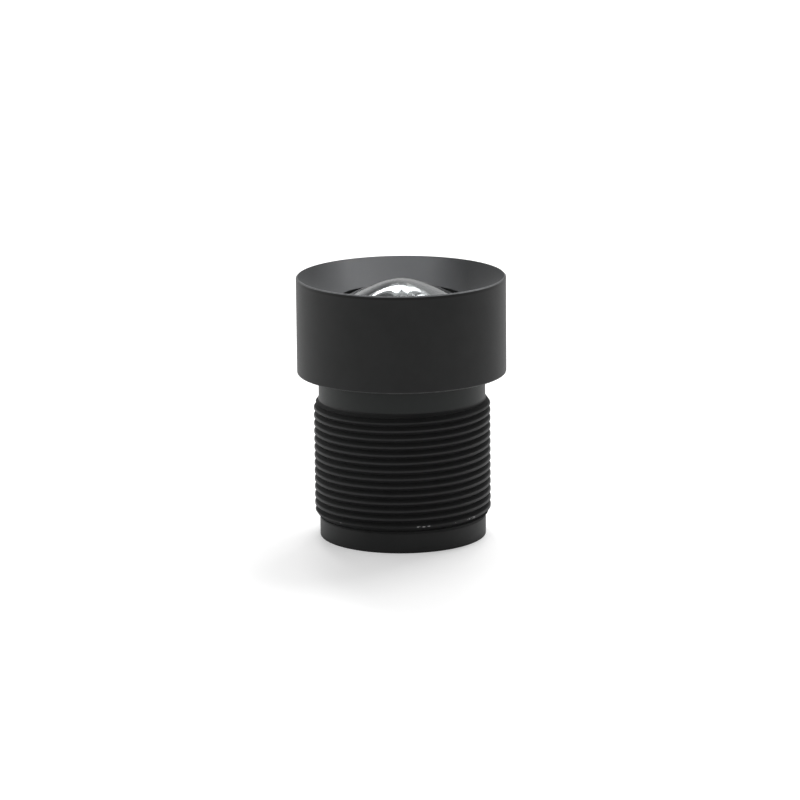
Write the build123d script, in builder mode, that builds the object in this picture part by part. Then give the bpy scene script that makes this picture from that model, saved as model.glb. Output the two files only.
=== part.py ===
from build123d import *

import os
from math import sqrt

# Screw-in lens of a small camera, standing on its rear face with the glass dome up.
# Origin: on the optical axis, at the rear face. +Z runs to the front. Millimetres.

os.makedirs("parts", exist_ok=True)

# Barrel, outside
total_length = 17.9
head_diameter = 14.2
head_height = 6.6
neck_length = 1.7
thread_diameter = 12.0
thread_depth = 0.34  # the neck and the rear land are turned down to the thread's root
thread_lead_in = 0.5  # length of the taper at each end of the thread
land_length = 1.35
edge_break = 0.08  # small bevel on the barrel's sharp outside corners
head_underside_bevel = 0.12

# Hood and the pocket of the front group
rim_width = 0.1
hood_depth = 1.45
pocket_diameter = 8.3
fit_gap = 0.04  # radial gap between a piece and the bore that holds it

# Front element and what holds it
ring_recess = 0.25  # the ring sits this far below the foot of the cone
ring_height = 0.45
flange_width = 0.5
flange_height = 1.45
dome_rise_over_ring = 0.06
dome_cap_radius = 3.85  # radius of curvature of the round cap
dome_cap_half_width = 1.75  # the flank runs straight from here to the shoulder
front_hollow_half_width = 1.7
front_hollow_rise = 1.05

# Web behind the front element, and the seal in a rebate at its edge
web_thickness = 1.4
web_lip = 0.5  # the front inner group stops against this much of the web
seal_rebate_depth = 0.5
seal_rebate_width = 0.6
seal_gap = 0.01

# Front inner group, loaded from the rear against the web
inner_bore_diameter = 4.7
inner_spacer_wall = 0.42
baffle_thickness = 0.1
front_baffle_lip = 0.4  # a baffle reaches this far inside the spacers' bore
second_edge = 1.5
second_rear_rise = -0.75  # a rise under zero is hollow
front_spacer_length = 0.5
third_edge = 0.8
third_front_rise = 0.5
stop_spacer_length = 0.5
stop_thickness = 0.1
stop_hole_radius = 0.95

# Rear group, loaded from the rear against the step behind the stop
rear_bore_diameter = 5.8
rear_spacer_wall = 0.5
fourth_edge = 1.6
cement_gap = 0.01
cemented_rise = 0.85  # bulge of the cemented face, over the pair's full width
fifth_edge = 0.7
middle_air_gap = 0.25  # between the cemented pair and the sixth element's bulge
sixth_edge = 0.7
sixth_front_rise = 0.55
rear_baffle_lip = 0.5
ground_margin = 0.05  # flat ground band of the glass inside each spacer's bore

# Filter and the ring that closes the rear
filter_ledge_width = 1.05
filter_thickness = 0.3
rear_ring_height = 0.8
rear_ring_wall = 1.05
rear_recess = 0.8  # from the rear face in to the ring
spanner_slot_width = 0.9
spanner_slot_depth = 0.4

# Heights of the barrel's outside
head_underside = total_length - head_height
neck_foot = head_underside - neck_length
thread_radius = thread_diameter / 2
root_radius = thread_radius - thread_depth
head_radius = head_diameter / 2
head_ledge = head_radius - root_radius

# Front group, from the cone's foot down to the web
pocket_radius = pocket_diameter / 2
mouth_radius = head_radius - rim_width
hood_foot = total_length - hood_depth
ring_top = hood_foot - ring_recess
flange_top = ring_top - ring_height
web_top = flange_top - flange_height
web_bottom = web_top - web_thickness
flange_radius = pocket_radius - fit_gap
dome_radius = flange_radius - flange_width
dome_foot = ring_top + dome_rise_over_ring

# Radii of the bores and of the pieces in them
inner_bore_radius = inner_bore_diameter / 2
rear_bore_radius = rear_bore_diameter / 2
filter_pocket_radius = rear_bore_radius + filter_ledge_width
inner_radius = inner_bore_radius - fit_gap
rear_radius = rear_bore_radius - fit_gap
filter_radius = filter_pocket_radius - fit_gap
inner_spacer_bore = inner_radius - inner_spacer_wall
rear_spacer_bore = rear_radius - rear_spacer_wall
inner_half_width = inner_spacer_bore - ground_margin
rear_half_width = rear_spacer_bore - ground_margin
web_bore_radius = inner_bore_radius - web_lip
seal_seat_radius = pocket_radius - seal_rebate_width


def stack_down(start, pieces):
    """Front and rear height of each piece, packed face to face from start to the rear."""
    places = {}
    front = start
    for name, thickness in pieces:
        places[name] = (front, front - thickness)
        front -= thickness
    return places


# Heights of the inner pieces. The rear spacer fills what is left in front of the filter.
places = stack_down(
    web_bottom,
    [
        ("front_baffle", baffle_thickness),
        ("second_element", second_edge),
        ("front_spacer", front_spacer_length),
        ("third_element", third_edge),
        ("stop_spacer", stop_spacer_length),
        ("aperture_stop", stop_thickness),
        ("fourth_element", fourth_edge),
        ("cement", cement_gap),
        ("fifth_element", fifth_edge),
        ("middle_spacer", sixth_front_rise + middle_air_gap),
        ("sixth_element", sixth_edge),
        ("rear_baffle", baffle_thickness),
    ],
)
stop_rear = places["aperture_stop"][1]
baffle_rear = places["rear_baffle"][1]
ring_rear = rear_recess
ring_front = ring_rear + rear_ring_height
filter_front = ring_front + filter_thickness
places["rear_spacer"] = (baffle_rear, filter_front)
places["front_seal"] = (web_top - seal_gap, web_top - seal_rebate_depth)


def circles_at(part, radius, height):
    """The circular edges of a turned part with this radius, at this height."""
    found = part.edges().filter_by(GeomType.CIRCLE)
    return found.filter_by(
        lambda edge: abs(edge.radius - radius) < 1e-4 and abs(edge.center().Z - height) < 1e-4
    )


def save(part, name):
    part.label = name
    export_step(part, f"parts/{name}.step")


# Barrel: outside form, then the hood, the pocket, the web and the stepped rear bores
with BuildPart() as barrel:
    with BuildSketch(Plane.XZ):
        with BuildLine():
            Polyline(
                (0, 0),
                (root_radius, 0),
                (root_radius, land_length),
                (thread_radius, land_length + thread_lead_in),
                (thread_radius, neck_foot - thread_lead_in),
                (root_radius, neck_foot),
                (root_radius, head_underside),
                (head_radius, head_underside),
                (head_radius, total_length),
                (0, total_length),
                close=True,
            )
        make_face()
    revolve(axis=Axis.Z)
    chamfer(circles_at(barrel, root_radius, 0), length=edge_break)
    chamfer(
        circles_at(barrel, head_radius, head_underside),
        length=min(head_underside_bevel, head_ledge / 2),
    )
    with BuildSketch(Plane.XZ):
        with BuildLine():
            Polyline(
                (0, total_length),
                (mouth_radius, total_length),
                (pocket_radius, hood_foot),
                (pocket_radius, web_top - seal_rebate_depth),
                (seal_seat_radius, web_top - seal_rebate_depth),
                (seal_seat_radius, web_top),
                (web_bore_radius, web_top),
                (web_bore_radius, web_bottom),
                (inner_bore_radius, web_bottom),
                (inner_bore_radius, stop_rear),
                (rear_bore_radius, stop_rear),
                (rear_bore_radius, filter_front),
                (filter_pocket_radius, filter_front),
                (filter_pocket_radius, 0),
                (0, 0),
                close=True,
            )
        make_face()
    revolve(axis=Axis.Z, mode=Mode.SUBTRACT)
save(barrel.part, "barrel")

# Front element: round cap, straight flank, shoulder for the ring, flange, deep hollow behind
dome_slope = dome_cap_half_width / sqrt(dome_cap_radius**2 - dome_cap_half_width**2)
cap_drop = dome_cap_radius - sqrt(dome_cap_radius**2 - dome_cap_half_width**2)
cap_foot = dome_foot + dome_slope * (dome_radius - dome_cap_half_width)
dome_apex = cap_foot + cap_drop
hollow_apex = web_top + front_hollow_rise
with BuildPart() as front_element:
    with BuildSketch(Plane.XZ):
        with BuildLine():
            TangentArc((0, dome_apex), (dome_cap_half_width, cap_foot), tangent=(1, 0))
            Polyline(
                (dome_cap_half_width, cap_foot),
                (dome_radius, dome_foot),
                (dome_radius, flange_top),
                (flange_radius, flange_top),
                (flange_radius, web_top),
                (front_hollow_half_width, web_top),
            )
            TangentArc((0, hollow_apex), (front_hollow_half_width, web_top), tangent=(1, 0))
            Line((0, hollow_apex), (0, dome_apex))
        make_face()
    revolve(axis=Axis.Z)
save(front_element.part, "front_element")

# Front retaining ring: clamps the flange and clears the dome
with BuildPart() as front_retaining_ring:
    with BuildSketch(Plane.XY.offset(flange_top)):
        Circle(flange_radius)
        Circle(dome_radius + fit_gap, mode=Mode.SUBTRACT)
    extrude(amount=ring_height)
save(front_retaining_ring.part, "front_retaining_ring")

# Seal, spacers, punched baffles and the stop: outer radius and bore of each ring
rings = {
    "front_seal": (flange_radius, seal_seat_radius + fit_gap),
    "front_baffle": (inner_radius, inner_spacer_bore - front_baffle_lip),
    "front_spacer": (inner_radius, inner_spacer_bore),
    "stop_spacer": (inner_radius, inner_spacer_bore),
    "aperture_stop": (inner_radius, stop_hole_radius),
    "middle_spacer": (rear_radius, rear_spacer_bore),
    "rear_baffle": (rear_radius, rear_spacer_bore - rear_baffle_lip),
    "rear_spacer": (rear_radius, rear_spacer_bore),
}
for name, (outer, bore) in rings.items():
    front, rear = places[name]
    with BuildPart() as ring:
        with BuildSketch(Plane.XY.offset(rear)):
            Circle(outer)
            Circle(bore, mode=Mode.SUBTRACT)
        extrude(amount=front - rear)
    save(ring.part, name)

# Inner elements: edge radius, then half width and rise of the front face and of the rear face.
# The cemented faces run out to the edge. A rise of zero is a flat face.
flat = 0
elements = {
    "second_element": (inner_radius, (inner_radius, flat), (inner_half_width, second_rear_rise)),
    "third_element": (inner_radius, (inner_half_width, third_front_rise), (inner_radius, flat)),
    "fourth_element": (rear_radius, (rear_radius, flat), (rear_radius, -cemented_rise)),
    "fifth_element": (rear_radius, (rear_radius, cemented_rise), (rear_radius, flat)),
    "sixth_element": (rear_radius, (rear_half_width, sixth_front_rise), (rear_radius, flat)),
}


def lens_face(height, half_width, rise, edge):
    """One face of a lens in section: arc from the axis to its half width, then flat to the edge."""
    if rise == flat:
        Line((0, height), (edge, height))
        return
    TangentArc((0, height + rise), (half_width, height), tangent=(1, 0))
    if half_width < edge:
        Line((half_width, height), (edge, height))


for name, (edge, (front_half, front_rise), (rear_half, rear_rise)) in elements.items():
    front, rear = places[name]
    with BuildPart() as element:
        with BuildSketch(Plane.XZ):
            with BuildLine():
                lens_face(front, front_half, front_rise, edge)
                Line((edge, front), (edge, rear))
                lens_face(rear, rear_half, -rear_rise, edge)
                Line((0, rear - rear_rise), (0, front + front_rise))
            make_face()
        revolve(axis=Axis.Z)
    save(element.part, name)

# Infrared filter: plain coated disc on the ledge behind the last spacer
with BuildPart() as ir_cut_filter:
    with BuildSketch(Plane.XY.offset(ring_front)):
        Circle(filter_radius)
    extrude(amount=filter_thickness)
save(ir_cut_filter.part, "ir_cut_filter")

# Rear retaining ring: two slots for the spanner, open to the rear
with BuildPart() as rear_retaining_ring:
    with BuildSketch(Plane.XY.offset(ring_rear)):
        Circle(filter_radius)
        Circle(filter_radius - rear_ring_wall, mode=Mode.SUBTRACT)
    extrude(amount=rear_ring_height)
    with BuildSketch(Plane.XY.offset(ring_rear)):
        Rectangle(2 * filter_pocket_radius, spanner_slot_width)
    extrude(amount=spanner_slot_depth, mode=Mode.SUBTRACT)
save(rear_retaining_ring.part, "rear_retaining_ring")
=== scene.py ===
from math import cos, hypot, pi, radians, sin, sqrt, tan

import bpy
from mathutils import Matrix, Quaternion, Vector


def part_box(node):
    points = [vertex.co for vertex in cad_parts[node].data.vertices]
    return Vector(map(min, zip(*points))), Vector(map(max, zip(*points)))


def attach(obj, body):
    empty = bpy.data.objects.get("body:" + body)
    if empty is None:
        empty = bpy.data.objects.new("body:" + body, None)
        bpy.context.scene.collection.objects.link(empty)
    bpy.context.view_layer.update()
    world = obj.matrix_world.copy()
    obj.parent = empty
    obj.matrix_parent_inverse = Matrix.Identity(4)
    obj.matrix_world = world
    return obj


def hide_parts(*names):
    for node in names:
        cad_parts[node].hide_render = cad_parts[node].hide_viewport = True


# The screw-in lens, dressed: smooth turned metal, the cut thread, coated glass and the soft studio.
# Sizes are written in millimetres and become metres in the meshes, unless a comment says otherwise.

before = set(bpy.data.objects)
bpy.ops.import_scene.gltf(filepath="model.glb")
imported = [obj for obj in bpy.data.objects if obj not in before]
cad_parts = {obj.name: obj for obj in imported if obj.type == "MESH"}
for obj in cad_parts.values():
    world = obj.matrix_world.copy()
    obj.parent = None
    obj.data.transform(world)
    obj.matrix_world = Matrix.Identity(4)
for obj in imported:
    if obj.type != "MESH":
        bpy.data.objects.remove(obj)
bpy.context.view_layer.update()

MM = 0.001
AROUND = 256  # steps round a turned piece
WELD = 1e-7  # points nearer to each other than this, in metres, are made one


def top_of(node):
    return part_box(node)[1].z / MM


def foot_of(node):
    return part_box(node)[0].z / MM


def radius_of(node):
    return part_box(node)[1].x / MM


# Sizes read from the solids
total_length = top_of("barrel")
head_radius = radius_of("barrel")
glass_foot = foot_of("front_element")
glass_top = top_of("front_element")
flange_top = foot_of("front_retaining_ring")
ring_top = top_of("front_retaining_ring")
flange_radius = radius_of("front_element")
seal_foot = foot_of("front_seal")
web_foot = top_of("front_baffle")
inner_radius = radius_of("second_element")
rear_radius = radius_of("sixth_element")
stop_rear = foot_of("aperture_stop")
filter_front = top_of("ir_cut_filter")
filter_radius = radius_of("ir_cut_filter")
ring_front = top_of("rear_retaining_ring")
ring_rear = foot_of("rear_retaining_ring")

# Sizes of the barrel that the boxes don't give
fit_gap = 0.04
head_height = 6.6
hood_depth = 1.45
rim_bevel = 0.08
rim_flat = 0.04
neck_foot = 9.6
land_top = 1.35
thread_radius = 6.0
root_radius = 5.66
thread_lead_in = 0.5
seal_width = 0.6
web_lip = 0.5

# Sizes of the thread and of the tool that cuts it
crest_pitch = 0.5507
first_crest = 1.859  # height of the lowest crest at the front
root_flat = 0.042
crest_break = 0.03
flank_slope = tan(radians(30))
break_slope = 0.9
tip_short = 0.005  # the tool's tip stops this far outside the root
tool_over = 0.05  # the tool stands out this far past the crests
tool_turns = 18
turns_below = 2.5  # turns that the tool starts under the lowest crest

# Sizes of the glass and the rear ring
dome_over_solid = 0.064  # the dome in the photo is a little higher than its solid
dome_radius = 3.85
apex_radius = 3.1
dome_conic = -4.8
dome_steps = 40
hollow_half_width = 1.4
hollow_rise = 0.7
inner_half_width = 1.84
rear_half_width = 2.31
second_rise = 0.75
third_rise = 0.5
cemented_rise = 0.85
sixth_rise = 0.55
ground_edge = 0.03
paint_overlap = 0.01  # the black paint reaches this far over the edge of the dome's hollow
rear_ring_wall = 1.05
slot_width = 0.9
slot_depth = 0.4

# Sizes that follow from these
pocket_radius = flange_radius + fit_gap
inner_bore = inner_radius + fit_gap
rear_bore = rear_radius + fit_gap
filter_pocket = filter_radius + fit_gap
front_ring_bore = dome_radius + fit_gap
rear_ring_bore = filter_radius - rear_ring_wall
head_underside = total_length - head_height
hood_foot = total_length - hood_depth
dome_apex = glass_top + dome_over_solid
above_all = total_length + 1


# Making by hand
def deselect():
    if bpy.context.object and bpy.context.object.mode != "OBJECT":
        bpy.ops.object.mode_set(mode="OBJECT")
    bpy.ops.object.select_all(action="DESELECT")


def pick(piece):
    """Only this piece is selected, and it is the active one."""
    deselect()
    piece.select_set(True)
    bpy.context.view_layer.objects.active = piece


def rounded(corners, steps=5, hold=0.02):
    """Points of an outline whose corners (radius, height, rounding) are rounded off.

    A holding point on each side of a rounding keeps the flats next to it flat in the shading."""
    points = []
    count = len(corners)
    for i, (r, z, rounding) in enumerate(corners):
        here = Vector((r, z))
        if not rounding:
            points.append((r, z))
            continue
        before = Vector(corners[i - 1][:2]) - here
        after = Vector(corners[(i + 1) % count][:2]) - here
        half_turn = before.angle(after) / 2
        reach = rounding / tan(half_turn)
        start = here + before.normalized() * reach
        end = here + after.normalized() * reach
        inwards = (before.normalized() + after.normalized()).normalized()
        centre = here + inwards * (rounding / sin(half_turn))
        points.append(tuple(start + before.normalized() * hold))
        spoke = start - centre
        sweep = spoke.angle_signed(end - centre)
        for step in range(steps + 1):
            turn = -sweep * step / steps
            points.append(
                (
                    centre.x + spoke.x * cos(turn) - spoke.y * sin(turn),
                    centre.y + spoke.x * sin(turn) + spoke.y * cos(turn),
                )
            )
        points.append(tuple(end + after.normalized() * hold))
    return points


def drawn(name, points, closed):
    """An outline drawn out point by point at the front of the barrel, on -Y."""
    deselect()
    r, z = points[0]
    bpy.ops.mesh.primitive_plane_add(size=MM, location=(0, -r * MM, z * MM))
    piece = bpy.context.object
    piece.name = piece.data.name = name
    bpy.ops.object.transform_apply(location=True, rotation=False, scale=False)
    bpy.ops.object.mode_set(mode="EDIT")
    bpy.ops.mesh.select_all(action="SELECT")
    bpy.ops.mesh.merge(type="CENTER")
    for (r0, z0), (r1, z1) in zip(points, points[1:]):
        bpy.ops.mesh.extrude_vertices_move(
            TRANSFORM_OT_translate={"value": (0, (r0 - r1) * MM, (z1 - z0) * MM)}
        )
    if closed:
        bpy.ops.object.mode_set(mode="OBJECT")
        last = len(piece.data.vertices) - 1
        for vertex in piece.data.vertices:
            vertex.select = vertex.index in (0, last)
        bpy.ops.object.mode_set(mode="EDIT")
        bpy.ops.mesh.edge_face_add()
    bpy.ops.mesh.select_all(action="SELECT")
    return piece


def turned(name, points, closed=True):
    """A turned piece: its outline is drawn, then spun once round the axis."""
    piece = drawn(name, points, closed)
    bpy.ops.mesh.spin(steps=AROUND, angle=2 * pi, center=(0, 0, 0), axis=(0, 0, 1))
    bpy.ops.mesh.select_all(action="SELECT")
    bpy.ops.mesh.remove_doubles(threshold=WELD)
    bpy.ops.mesh.normals_make_consistent(inside=False)
    bpy.ops.object.mode_set(mode="OBJECT")
    return piece


def smooth(piece, angle=30):
    """Smooth shading, with edges sharper than the angle in degrees kept."""
    pick(piece)
    bpy.ops.object.shade_smooth_by_angle(angle=radians(angle))


def cut(piece, tool):
    """The tool's shape is cut out of the piece, and the tool is put away."""
    pick(piece)
    cutting = piece.modifiers.new("cut", "BOOLEAN")
    cutting.operation = "DIFFERENCE"
    cutting.solver = "EXACT"
    cutting.object = tool
    bpy.ops.object.modifier_apply(modifier=cutting.name)
    bpy.data.objects.remove(tool)
    bpy.ops.object.mode_set(mode="EDIT")
    bpy.ops.mesh.select_all(action="SELECT")
    bpy.ops.mesh.remove_doubles(threshold=WELD)
    bpy.ops.object.mode_set(mode="OBJECT")


def lens_arc(height, half_width, rise, steps=24):
    """A lens face in section, from the axis out to its half width; a plain face has no rise."""
    if not rise:
        return [(0, height)]
    bend = (half_width**2 + rise**2) / (2 * abs(rise))
    way = 1 if rise > 0 else -1
    return [
        (r, height + rise - way * (bend - sqrt(bend**2 - r**2)))
        for r in (half_width * step / steps for step in range(steps + 1))
    ]


def dress(piece, node, material):
    """The piece stands for the node, with its finish."""
    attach(piece, "root")
    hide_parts(node)
    piece.data.materials.clear()
    piece.data.materials.append(material)


def blacken(piece, ground):
    """The ground faces of a glass, picked by radius and height, are painted black."""
    piece.data.materials.append(paint)
    for face in piece.data.polygons:
        r, z = hypot(face.center.x, face.center.y) / MM, face.center.z / MM
        if ground(r, z):
            face.material_index = 1


# Finishes
class Nodes:
    """The nodes of a material or of the world, being put together."""

    def __init__(self, tree):
        self.tree = tree

    def node(self, kind, **settings):
        made = self.tree.nodes.new(kind)
        for key, value in settings.items():
            if hasattr(made, key):
                setattr(made, key, value)
            else:
                made.inputs[key].default_value = value
        return made

    def join(self, source, target):
        self.tree.links.new(source, target)

    def feed(self, value, target):
        """A socket is given a number, or another node's value."""
        if isinstance(value, (int, float)):
            target.default_value = value
        else:
            self.join(value, target)

    def combined(self, operation, *values):
        """What the operation makes of one or two values."""
        made = self.node("ShaderNodeMath", operation=operation)
        for value, socket in zip(values, made.inputs):
            self.feed(value, socket)
        return made.outputs[0]

    def both(self, first, second):
        """Where two masks overlap."""
        return self.combined("MULTIPLY", first, second)

    def either(self, first, second):
        """Where one mask or the other is."""
        return self.combined("MAXIMUM", first, second)

    def spread(self, value, low, high, start=0.3, end=0.7, bend="LINEAR"):
        """From low to high while the value goes from start to end."""
        spread = self.node("ShaderNodeMapRange", interpolation_type=bend)
        limits = {"From Min": start, "From Max": end, "To Min": low, "To Max": high}
        for key, number in limits.items():
            spread.inputs[key].default_value = number
        self.join(value, spread.inputs["Value"])
        return spread.outputs["Result"]

    def mixed(self, amount, first, second):
        """From the first level to the second by the amount."""
        mix = self.node("ShaderNodeMix", data_type="FLOAT")
        for key, value in (("Factor", amount), ("A", first), ("B", second)):
            self.feed(value, mix.inputs[key])
        return mix.outputs["Result"]


class Finish(Nodes):
    """A material being put together: its nodes, and its shader."""

    def __init__(self, name):
        self.material = bpy.data.materials.new(name)
        self.material.use_nodes = True
        super().__init__(self.material.node_tree)
        self.shader = self.tree.nodes["Principled BSDF"]

    def place(self):
        return self.node("ShaderNodeTexCoord").outputs["Object"]

    def noise(self, size, detail):
        """Noise whose marks are about this many millimetres across."""
        scale = 1 / (size * MM)
        noise = self.node("ShaderNodeTexNoise", Scale=scale, Detail=detail, Roughness=0.55)
        self.join(self.place(), noise.inputs["Vector"])
        return noise.outputs["Fac"]

    def apart(self):
        """The place in its three directions."""
        apart = self.node("ShaderNodeSeparateXYZ")
        self.join(self.place(), apart.inputs[0])
        return apart

    def across(self):
        return self.apart().outputs["X"]

    def depth(self):
        return self.apart().outputs["Y"]

    def height(self):
        return self.apart().outputs["Z"]

    def length(self, vector, weights):
        """The length of a vector whose three parts count by their weights."""
        weighed = self.node("ShaderNodeVectorMath", operation="MULTIPLY")
        self.join(vector, weighed.inputs[0])
        weighed.inputs[1].default_value = weights
        length = self.node("ShaderNodeVectorMath", operation="LENGTH")
        self.join(weighed.outputs[0], length.inputs[0])
        return length.outputs["Value"]

    def from_axis(self):
        """How far the place is from the lens's axis."""
        return self.length(self.place(), (1, 1, 0))

    def outside(self, radius, soft):
        """Where the place lies outside the radius, softly."""
        return self.spread(self.from_axis(), 0, 1, radius * MM, (radius + soft) * MM)

    def within(self, radius, soft):
        """Where the place lies within the radius, and softly a little past it."""
        return self.spread(self.from_axis(), 1, 0, radius * MM, (radius + soft) * MM)

    def over(self, amount, below, colour):
        """The colour laid over what is below it, by the amount."""
        mix = self.node("ShaderNodeMix", data_type="RGBA")
        mix.inputs["B"].default_value = (*colour, 1)
        self.join(amount, mix.inputs["Factor"])
        self.join(below, mix.inputs["A"])
        return mix.outputs["Result"]

    def between(self, value, first, second):
        """A colour that goes from the first to the second with the value."""
        mix = self.node("ShaderNodeMix", data_type="RGBA")
        mix.inputs["A"].default_value = (*first, 1)
        mix.inputs["B"].default_value = (*second, 1)
        self.join(value, mix.inputs["Factor"])
        return mix.outputs["Result"]

    def bump(self, height, relief):
        """Relief of this many millimetres on the surface."""
        bump = self.node("ShaderNodeBump", Strength=1.0, Distance=relief * MM)
        self.join(height, bump.inputs["Height"])
        return bump.outputs["Normal"]


uneven = 0.05  # how far the roughness goes up and down with the grain
coarser = 0.35  # how much rougher the coarse faces are


def black_anodised(name, dark, light, roughness, specular, changes=(), coarse=None):
    """Fine blasted and black anodised aluminium, a touch uneven.

    Changes are pairs of a mask's maker and the colour that shows there; some are painted highlights
    and painted shade.
    Coarse is the maker of a mask of the faces that the cutting left rougher."""
    finish = Finish(name)
    shader = finish.shader
    shader.inputs["Specular IOR Level"].default_value = specular
    cloud = finish.noise(size=1.6, detail=4)
    grain = finish.noise(size=0.05, detail=2)
    colour = finish.between(finish.spread(cloud, 0, 1), dark, light)
    for mask, shows in changes:
        colour = finish.over(mask(finish), colour, shows)
    finish.join(colour, shader.inputs["Base Color"])
    matt = finish.spread(grain, roughness - uneven, roughness + uneven)
    if coarse:
        more = finish.combined("MULTIPLY", coarse(finish), coarser)
        matt = finish.combined("ADD", matt, more)
    finish.join(matt, shader.inputs["Roughness"])
    finish.join(finish.bump(grain, relief=0.0012), shader.inputs["Normal"])
    return finish.material


# Where the barrel's finish, its painted highlights and its painted shade change, measured from its
# faces and edges
wall_skin = 0.15
cone_skin = 0.14
crest_skin = 0.04
groove_skin = 0.09
neck_band_gap = 0.1  # from the neck's foot up to the greyer band
groove_gap = 0.1  # from the neck's foot down to the coarse grooves
rim_line_gap = 0.03  # from the bevel down to the darker line
rim_line_width = 0.13
unrubbed_below = 0.15  # from the thread's lead-in up to the first lightened crest
shaded_under_head = 0.2  # from the last lightened crest up to the other lead-in, where the turn under the head keeps a painted shade
head_highlight_height = 0.07  # of the painted highlight on the head's lower edge
highlighted_bevel_share = 0.7  # the share of the rim's bevel that the painted highlight covers


def band(finish, low, high, soft, patchy=0.0):
    """Where the height lies from low to high, softly, and broken up by patches."""
    height = finish.height()
    rise = finish.spread(height, 0, 1, (low - soft) * MM, low * MM)
    fall = finish.spread(height, 1, 0, high * MM, (high + soft) * MM)
    whole = finish.both(rise, fall)
    patches = finish.spread(finish.noise(size=0.35, detail=4), 1 - patchy, 1, start=0.4, end=0.6)
    return finish.both(whole, patches)


def on_the_wall(finish):
    """The head's outer wall, and not the faces further in."""
    return finish.outside(head_radius - wall_skin, soft=0.07)


def painted_rim_highlight(finish):
    """The rim's near edge, painted light as a highlight."""
    lowest = total_length - rim_bevel * highlighted_bevel_share
    painted_band = band(finish, lowest, above_all, soft=0.03, patchy=0.25)
    near_side = finish.spread(finish.depth(), 1, 0, start=-5 * MM, end=-1 * MM)
    return finish.both(painted_band, near_side)


def neck_band(finish):
    """The neck, whose black came out a little greyer."""
    return band(finish, neck_foot + neck_band_gap, head_underside - 0.02, soft=0.1)


def hood_inside(finish):
    """The cone inside the hood, whose black came out a little bluer."""
    inside = finish.within(head_radius - cone_skin, soft=0.03)
    return finish.both(inside, band(finish, hood_foot, above_all, soft=0.02))


def dull_and_shaded_hood_sides(finish):
    """The right and left of the cone, where the finish is duller, and where its colour is darkened
    as painted shade.
    """
    right = finish.spread(finish.across(), 0, 1, start=1.5 * MM, end=4.5 * MM)
    left = finish.spread(finish.across(), 0.85, 0, start=-6 * MM, end=-3 * MM)
    return finish.both(hood_inside(finish), finish.either(right, left))


def painted_rim_shadow_line(finish):
    """A fine darker line just under the rim, a painted shadow."""
    line_top = total_length - rim_bevel - rim_line_gap
    line = band(finish, line_top - rim_line_width, line_top, soft=0.02)
    return finish.both(on_the_wall(finish), line)


def crests_scuffed_and_highlighted(finish):
    """The flat crests of the thread, painted lighter as worn edges and as their highlight, but not
    its last turn under the neck, which is left dark as painted shade from the head.
    """
    crest = finish.outside(thread_radius - crest_skin, soft=0.02)
    lowest = land_top + thread_lead_in + unrubbed_below
    highest = neck_foot - thread_lead_in - shaded_under_head
    turns = band(finish, lowest, highest, soft=0.05, patchy=0.3)
    off_the_head = finish.within(thread_radius + 0.1, soft=0.1)
    return finish.both(finish.both(crest, turns), off_the_head)


def coarse_faces(finish):
    """The thread's faces below its crests, the cone's sides, and a little the rest of the cone."""
    deep = finish.within(thread_radius - groove_skin, soft=0.05)
    grooves = finish.both(deep, band(finish, land_top, neck_foot - groove_gap, soft=0.05))
    sides = dull_and_shaded_hood_sides(finish)
    cone = finish.combined("MULTIPLY", hood_inside(finish), 0.2)
    return finish.either(grooves, finish.either(sides, cone))


def painted_head_edge_highlight(finish):
    """The head's lower edge, painted light as a highlight over the front and less to the left."""
    highest = head_underside + head_highlight_height
    painted_band = band(finish, head_underside - 0.01, highest, soft=0.03, patchy=0.4)
    painted_band = finish.both(painted_band, on_the_wall(finish))
    return finish.both(painted_band, finish.spread(finish.across(), 0.2, 1, start=-6 * MM, end=-1 * MM))


# The nicks, as x, y, z and size: seven in the lowest crest, and one at the head's lower edge
nick_places = (
    (1.05, -5.88, 1.90, 0.18),
    (1.38, -5.82, 1.89, 0.14),
    (1.72, -5.72, 1.91, 0.14),
    (3.51, -4.83, 1.89, 0.06),
    (4.40, -4.04, 1.94, 0.18),
    (4.72, -3.66, 1.96, 0.22),
    (-4.19, -4.25, 1.80, 0.13),
    (5.05, -5.00, 11.33, 0.12),
)
nick_flatness = 3  # a nick is this many times as long as it is high
nick_core = 0.4  # the share of its size that is bright all over


def nicks(finish):
    """Small bright nicks where something knocked the black off, each a little ragged."""
    marks = 0.0
    for x, y, z, size in nick_places:
        away = finish.node("ShaderNodeVectorMath", operation="SUBTRACT")
        finish.join(finish.place(), away.inputs[0])
        away.inputs[1].default_value = (x * MM, y * MM, z * MM)
        far = finish.length(away.outputs[0], (1, 1, nick_flatness))
        marks = finish.either(marks, finish.spread(far, 1, 0, size * nick_core * MM, size * MM))
    ragged = finish.spread(finish.noise(size=0.12, detail=2), 0, 1, start=0.42, end=0.55)
    return finish.both(marks, ragged)


def coated_glass(name, index, tint, sheen, gloss):
    """Ground and polished glass with a coating that tints what it mirrors, and a trace of dust."""
    finish = Finish(name)
    shader = finish.shader
    shader.inputs["Transmission Weight"].default_value = 1.0
    shader.inputs["IOR"].default_value = index
    shader.inputs["Specular IOR Level"].default_value = gloss
    shader.inputs["Specular Tint"].default_value = (*sheen, 1)
    film = finish.noise(size=1.2, detail=2)
    colour = finish.between(finish.spread(film, 0, 1), tint, (1, 1, 1))
    finish.join(colour, shader.inputs["Base Color"])
    dust = finish.noise(size=0.3, detail=4)
    finish.join(finish.spread(dust, 0.0, 0.02), shader.inputs["Roughness"])
    return finish.material


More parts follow.
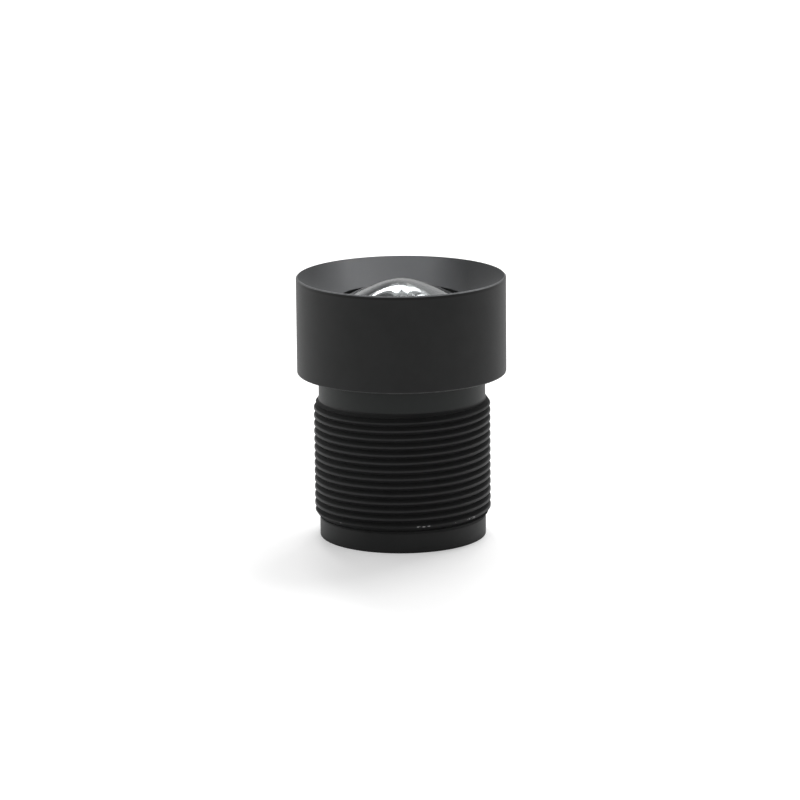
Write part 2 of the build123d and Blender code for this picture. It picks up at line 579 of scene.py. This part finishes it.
def edge_paint():
    """Black paint brushed on the ground edges of the glass, so they mirror no light inside."""
    finish = Finish("edge_paint")
    shader = finish.shader
    shader.inputs["Specular IOR Level"].default_value = 0.2
    strokes = finish.noise(size=0.25, detail=4)
    thick, thin = (0.004, 0.004, 0.004), (0.009, 0.009, 0.009)
    colour = finish.between(finish.spread(strokes, 0, 1), thick, thin)
    finish.join(colour, shader.inputs["Base Color"])
    finish.join(finish.spread(strokes, 0.65, 0.85), shader.inputs["Roughness"])
    finish.join(finish.bump(strokes, relief=0.002), shader.inputs["Normal"])
    return finish.material


def black_rubber():
    """Matt moulded rubber with a fine even grain."""
    finish = Finish("black_rubber")
    shader = finish.shader
    shader.inputs["Specular IOR Level"].default_value = 0.3
    bloom = finish.noise(size=0.5, detail=3)
    grain = finish.noise(size=0.04, detail=2)
    clean, bloomed = (0.012, 0.012, 0.012), (0.022, 0.022, 0.021)
    colour = finish.between(finish.spread(bloom, 0, 1), clean, bloomed)
    finish.join(colour, shader.inputs["Base Color"])
    finish.join(finish.spread(grain, 0.6, 0.75), shader.inputs["Roughness"])
    finish.join(finish.bump(grain, relief=0.002), shader.inputs["Normal"])
    return finish.material


anodised_dark = (0.0092, 0.0096, 0.0096)
anodised_light = (0.0125, 0.013, 0.013)
clear_tint = (0.96, 0.98, 1.0)

metal = black_anodised(
    "black_anodised",
    anodised_dark,
    anodised_light,
    roughness=0.48,
    specular=0.28,
    changes=(
        (neck_band, (0.0155, 0.0178, 0.017)),
        (hood_inside, (0.022, 0.0245, 0.029)),
        # painted shade on the right and left of the cone
        (dull_and_shaded_hood_sides, (0.010, 0.011, 0.012)),
        # the fine darker line under the rim is a painted shadow
        (painted_rim_shadow_line, (0.003, 0.003, 0.003)),
        # the rim's near edge is painted light as a highlight
        (painted_rim_highlight, (0.15, 0.155, 0.16)),
        # the head's lower edge is painted light as a highlight
        (painted_head_edge_highlight, (0.055, 0.055, 0.055)),
        # the crests are lighter as wear and as a painted highlight; the last turn stays dark as
        # painted shade
        (crests_scuffed_and_highlighted, (0.019, 0.019, 0.0195)),
        (nicks, (0.4, 0.4, 0.4)),
    ),
    coarse=coarse_faces,
)
plain_metal = black_anodised(
    "black_anodised_ring", anodised_dark, anodised_light, roughness=0.48, specular=0.28
)
spacer_black = black_anodised(
    "black_spacer", (0.005, 0.005, 0.005), (0.008, 0.008, 0.008), roughness=0.6, specular=0.2
)
stop_black = black_anodised(
    "black_stop_foil", (0.003, 0.003, 0.003), (0.005, 0.005, 0.005), roughness=0.7, specular=0.15
)
rubber = black_rubber()
paint = edge_paint()
front_glass = coated_glass(
    "front_glass", index=1.65, tint=clear_tint, sheen=(0.9, 0.98, 1.0), gloss=0.72
)
inner_glass = coated_glass(
    "inner_glass", index=1.6, tint=clear_tint, sheen=(0.8, 1.0, 0.85), gloss=0.25
)
filter_glass = coated_glass(
    "filter_glass", index=1.52, tint=(0.72, 0.92, 0.98), sheen=(1.0, 0.45, 0.35), gloss=1.0
)

# Pieces whose solids are right as they are, and only need a finish
for inner, finish in (
    ("front_seal", rubber),
    ("front_baffle", stop_black),
    ("front_spacer", spacer_black),
    ("stop_spacer", spacer_black),
    ("aperture_stop", stop_black),
    ("middle_spacer", spacer_black),
    ("rear_baffle", stop_black),
    ("rear_spacer", spacer_black),
):
    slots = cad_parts[inner].data.materials
    slots.clear()
    slots.append(finish)


# Barrel
def thread_tool():
    """The helical tool that cuts the thread: a trapezoid point carried up round the barrel."""
    tip = root_radius + tip_short
    edge = thread_radius - crest_break
    out = thread_radius + tool_over
    tip_half = root_flat / 2
    edge_half = tip_half + (edge - tip) * flank_slope
    out_half = edge_half + (out - edge) * break_slope
    start = first_crest - crest_pitch * turns_below
    outline = [
        (tip, start - tip_half),
        (edge, start - edge_half),
        (out, start - out_half),
        (out, start + out_half),
        (edge, start + edge_half),
        (tip, start + tip_half),
    ]
    tool = drawn("thread_tool", outline, closed=True)
    bpy.ops.object.mode_set(mode="OBJECT")
    screw = tool.modifiers.new("screw", "SCREW")
    screw.axis = "Z"
    screw.angle = 2 * pi
    screw.screw_offset = crest_pitch * MM
    screw.iterations = tool_turns
    screw.steps = screw.render_steps = AROUND
    screw.use_merge_vertices = False
    bpy.ops.object.modifier_apply(modifier=screw.name)
    bpy.ops.object.mode_set(mode="EDIT")
    bpy.ops.mesh.select_all(action="SELECT")
    bpy.ops.mesh.remove_doubles(threshold=WELD)
    bpy.ops.mesh.fill_holes(sides=0)
    bpy.ops.mesh.select_all(action="SELECT")
    bpy.ops.mesh.normals_make_consistent(inside=False)
    bpy.ops.object.mode_set(mode="OBJECT")
    return tool


def make_barrel():
    """The barrel, turned from its section, with the thread cut into it."""
    corners = [
        (filter_pocket, 0, 0.06),
        (root_radius, 0, 0.05),
        (root_radius, land_top, 0),
        (thread_radius, land_top + thread_lead_in, 0),
        (thread_radius, neck_foot - thread_lead_in, 0),
        (root_radius, neck_foot, 0),
        (root_radius, head_underside, 0.12),
        (head_radius, head_underside, 0.1),
        (head_radius, total_length - rim_bevel, 0.03),
        (head_radius - rim_bevel, total_length, 0.02),
        (head_radius - rim_bevel - rim_flat, total_length, 0.015),
        (pocket_radius, hood_foot, 0.04),
        (pocket_radius, seal_foot, 0),
        (pocket_radius - seal_width, seal_foot, 0),
        (pocket_radius - seal_width, glass_foot, 0),
        (inner_bore - web_lip, glass_foot, 0.05),
        (inner_bore - web_lip, web_foot, 0.05),
        (inner_bore, web_foot, 0),
        (inner_bore, stop_rear, 0),
        (rear_bore, stop_rear, 0),
        (rear_bore, filter_front, 0.05),
        (filter_pocket, filter_front, 0),
    ]
    barrel = turned("barrel_body", rounded(corners, hold=0.01))
    cut(barrel, thread_tool())
    smooth(barrel)
    dress(barrel, "barrel", metal)


# Front ring and front element
def make_front_ring():
    """The thin ring that holds the dome's flange down."""
    corners = [
        (front_ring_bore, flange_top, 0.02),
        (flange_radius, flange_top, 0.02),
        (flange_radius, ring_top, 0.04),
        (front_ring_bore, ring_top, 0.08),
    ]
    ring = turned("front_ring_turned", rounded(corners))
    smooth(ring)
    dress(ring, "front_retaining_ring", plain_metal)


def dome_drop(r):
    """How far the dome's face lies below its apex: round at the top, straighter down the flank."""
    bend = sqrt(1 - (1 + dome_conic) * (r / apex_radius) ** 2)
    return r**2 / apex_radius / (1 + bend)


def make_dome():
    """The glass dome, with its flange and the hollow behind it."""
    outline = [
        (r, dome_apex - dome_drop(r))
        for r in (dome_radius * step / dome_steps for step in range(dome_steps + 1))
    ]
    outline += [(dome_radius, flange_top), (flange_radius, flange_top)]
    outline.append((flange_radius, glass_foot))
    outline += lens_arc(glass_foot, hollow_half_width, hollow_rise)[::-1]
    dome = turned("front_glass_dome", outline, closed=False)
    smooth(dome)
    dress(dome, "front_element", front_glass)
    blacken(dome, lambda r, z: z < ring_top and r > hollow_half_width - paint_overlap)


# Inner elements, filter and rear ring
def make_element(node, front_half, front_rise, rear_half, rear_rise):
    """A ground lens: a rise is how far a face stands out, and a hollow's is below nought."""
    edge = radius_of(node)
    front = top_of(node) - max(front_rise, 0)
    rear = foot_of(node) + max(rear_rise, 0)
    outline = lens_arc(front, front_half, front_rise)
    outline += [(edge - ground_edge, front), (edge, front - ground_edge)]
    outline += [(edge, rear + ground_edge), (edge - ground_edge, rear)]
    outline += lens_arc(rear, rear_half, -rear_rise)[::-1]
    element = turned(node.replace("element", "glass"), outline, closed=False)
    smooth(element)
    dress(element, node, inner_glass)
    blacken(element, lambda r, z: r > edge - ground_edge)


def make_filter():
    """The thin filter disc, its edges just broken."""
    corners = [
        (0, filter_front, 0),
        (filter_radius, filter_front, ground_edge),
        (filter_radius, ring_front, ground_edge),
        (0, ring_front, 0),
    ]
    disc = turned("filter_disc", rounded(corners), closed=False)
    smooth(disc)
    dress(disc, "ir_cut_filter", filter_glass)


def make_rear_ring():
    """The rear ring, whose two spanner slots are cut by one bar laid across it."""
    corners = [
        (rear_ring_bore, ring_rear, 0.08),
        (filter_radius, ring_rear, 0.05),
        (filter_radius, ring_front, 0.03),
        (rear_ring_bore, ring_front, 0.03),
    ]
    ring = turned("rear_ring_turned", rounded(corners))
    deselect()
    bpy.ops.mesh.primitive_cube_add(size=MM, location=(0, 0, ring_rear * MM))
    spanner_bar = bpy.context.object
    bar_length = 3 * filter_radius  # well past the ring on both sides
    bpy.ops.transform.resize(value=(bar_length, slot_width, 2 * slot_depth))
    bpy.ops.object.transform_apply(location=True, rotation=False, scale=True)
    cut(ring, spanner_bar)
    smooth(ring)
    dress(ring, "rear_retaining_ring", plain_metal)


make_barrel()
make_front_ring()
make_dome()
make_element("second_element", 0, 0, inner_half_width, -second_rise)
make_element("third_element", inner_half_width, third_rise, 0, 0)
make_element("fourth_element", 0, 0, rear_radius - ground_edge, -cemented_rise)
make_element("fifth_element", rear_radius - ground_edge, cemented_rise, 0, 0)
make_element("sixth_element", rear_half_width, sixth_rise, 0, 0)
make_filter()
make_rear_ring()

# Studio, in metres
floor_size = 4
floor_grey = (0.8, 0.8, 0.8, 1)
floor_roughness = 0.9
floor_glow = 0.3  # what lifts the floor to white, for the camera alone
light_on_matt = 0.6  # the walls' level where they aren't mirrored
off_middle = 0.03  # the darker part low down behind lies this far to the left
white = (1, 1, 1, 1)


def make_floor():
    """A pale matt floor, which keeps the lens's shadow."""
    finish = Finish("pale_floor")
    shader = finish.shader
    shader.inputs["Base Color"].default_value = floor_grey
    shader.inputs["Roughness"].default_value = floor_roughness
    seen = finish.node("ShaderNodeLightPath").outputs["Is Camera Ray"]
    glow = finish.node("ShaderNodeEmission", Color=white)
    finish.join(finish.combined("MULTIPLY", seen, floor_glow), glow.inputs["Strength"])
    added = finish.node("ShaderNodeAddShader")
    finish.join(shader.outputs[0], added.inputs[0])
    finish.join(glow.outputs[0], added.inputs[1])
    finish.join(added.outputs[0], finish.tree.nodes["Material Output"].inputs["Surface"])
    deselect()
    bpy.ops.mesh.primitive_plane_add(size=floor_size, location=(0, 0, 0))
    floor = bpy.context.object
    floor.name = "floor"
    floor.data.materials.append(finish.material)


def light_walls():
    """Pale walls all round, white to the camera, whose light differs by direction."""
    world = bpy.data.worlds.new("studio")
    bpy.context.scene.world = world
    world.use_nodes = True
    walls = Nodes(world.node_tree)
    direction = walls.node("ShaderNodeTexCoord").outputs["Generated"]
    parts = walls.node("ShaderNodeSeparateXYZ")
    walls.join(direction, parts.inputs[0])
    to_right, to_back, to_top = parts.outputs

    def ramp(value, start, end, low, high):
        return walls.spread(value, low, high, start, end, bend="SMOOTHSTEP")

    # Brighter behind than in front, and on the left than on the right
    front_to_back = ramp(to_back, start=-0.7, end=0.3, low=0.3, high=1.1)
    left_to_right = ramp(to_right, start=-0.8, end=0.8, low=1.65, high=0.72)

    # High up behind, the left is dark and the right is bright
    up = ramp(to_top, start=0.2, end=0.6, low=0, high=1)
    high_behind = walls.both(up, ramp(to_back, start=0.1, end=0.5, low=0, high=1))
    to_the_right = ramp(to_right, start=-0.4, end=0.2, low=0.15, high=1.35)
    high_part = walls.mixed(high_behind, 1.0, to_the_right)

    # Low down behind, the middle is darker than its sides
    aside = walls.combined("ABSOLUTE", walls.combined("ADD", to_right, off_middle))
    beside = ramp(aside, start=0.1, end=0.45, low=0.45, high=1)
    down = ramp(to_top, start=0.1, end=0.32, low=1, high=0)
    low_behind = walls.both(down, ramp(to_back, start=0, end=0.5, low=0, high=1))
    low_part = walls.mixed(low_behind, 1.0, beside)

    level = walls.combined("MULTIPLY", front_to_back, left_to_right)
    level = walls.combined("MULTIPLY", level, walls.combined("MULTIPLY", high_part, low_part))
    rays = walls.node("ShaderNodeLightPath").outputs
    mirrored = walls.either(rays["Is Glossy Ray"], rays["Is Transmission Ray"])
    level = walls.mixed(mirrored, light_on_matt, level)
    level = walls.mixed(rays["Is Camera Ray"], level, 1.0)
    back = walls.tree.nodes["Background"]
    back.inputs["Color"].default_value = white
    walls.join(level, back.inputs["Strength"])


# Lamps, in metres, about half a metre from a point in the dome
bank_height = radians(49.5)  # of the bank's middle, over the floor
lamp_distance = 0.53
lit_centre = Vector((0, 0, 0.017))


def bank(across, up):
    """A direction in the bank: steps across and up from its middle."""
    middle = Vector((0, cos(bank_height), sin(bank_height)))
    upwards = Vector((0, -sin(bank_height), cos(bank_height)))
    return middle + Vector((across, 0, 0)) + upwards * up


def towards(right, above):
    """A direction by its degrees to the right of straight behind, and above the floor."""
    right, above = radians(right), radians(above)
    return Vector((sin(right) * cos(above), cos(right) * cos(above), sin(above)))


def softbox(name, out, width, height, light, tilt=0):
    """A soft lamp in this direction; its width and height are parts of its distance."""
    lamp = bpy.data.lights.new(name, "AREA")
    lamp.shape = "RECTANGLE"
    lamp.size = width * lamp_distance
    lamp.size_y = height * lamp_distance
    lamp.energy = light * pi * lamp.size * lamp.size_y
    holder = bpy.data.objects.new(name, lamp)
    bpy.context.collection.objects.link(holder)
    holder.location = lit_centre + out * lamp_distance
    holder.rotation_mode = "QUATERNION"
    turn = Quaternion((0, 0, 1), radians(tilt))
    holder.rotation_quaternion = out.to_track_quat("Z", "Y") @ turn


# The bowed bank behind and above, which the dome mirrors as a crescent. Its places from left to
# right are across, up, height, tilt and light
bow = (
    (-0.205, -0.085, 0.20, 38, 9),
    (-0.165, -0.023, 0.28, 30, 9),
    (-0.095, 0.010, 0.225, 17, 9),
    (0.0, 0.003, 0.12, 0, 9),
    (0.100, 0.030, 0.18, -15, 9),
    (0.165, -0.020, 0.15, -25, 7),
    (0.200, -0.070, 0.12, -35, 4),
)
boxes_apart = 3  # boxes from one place of the bow to the next
box_width = 0.04
edge_width = 0.1
edge_over = 0.13  # each dim edge is this much higher than the box at its place
edge_light = 1.4


def light_bow():
    """Narrow bright boxes along the bow, and a dim wide edge at each of its places."""
    boxes = [
        tuple(left + (right - left) * part / boxes_apart for left, right in zip(here, beyond))
        for here, beyond in zip(bow, bow[1:])
        for part in range(boxes_apart)
    ]
    boxes.append(bow[-1])
    for count, (across, up, height, tilt, light) in enumerate(boxes):
        softbox("bank_box_%d" % count, bank(across, up), box_width, height, light, tilt)
    for count, (across, up, height, tilt, light) in enumerate(bow):
        edge_height = height + edge_over
        out = bank(across, up)
        softbox("bank_edge_%d" % count, out, edge_width, edge_height, edge_light, tilt)


# The camera, as it was fitted to the outline in the photo
aim = Vector((-0.138 * MM, 0, 9.283 * MM))
elevation = radians(12.959)
roll = radians(-0.544)
camera_distance = 291.8 * MM
focal_length = 193.3
sensor_width = 36
nearest_seen = 0.01  # metres


def place_camera():
    """The camera in front of the lens and a little above it, looking down at it."""
    data = bpy.data.cameras.new("camera")
    data.lens = focal_length
    data.sensor_width = sensor_width
    data.clip_start = nearest_seen
    camera = bpy.data.objects.new("camera", data)
    bpy.context.collection.objects.link(camera)
    camera.location = aim + Vector((0, -cos(elevation), sin(elevation))) * camera_distance
    look = (aim - camera.location).to_track_quat("-Z", "Y")
    camera.rotation_mode = "QUATERNION"
    camera.rotation_quaternion = look @ Quaternion((0, 0, 1), roll)
    bpy.context.scene.camera = camera


make_floor()
light_walls()
light_bow()
softbox("glow_left", bank(-0.085, -0.145), width=0.08, height=0.06, light=1.5, tilt=10)
softbox("glow_right", bank(0.14, -0.14), width=0.12, height=0.08, light=1.5, tilt=-15)
softbox("small_box", bank(0.16, 0.10), width=0.04, height=0.04, light=4)
softbox("high_box", towards(36, 57), width=0.4, height=0.4, light=7.5)
place_camera()
bpy.context.scene.view_settings.view_transform = "Standard"
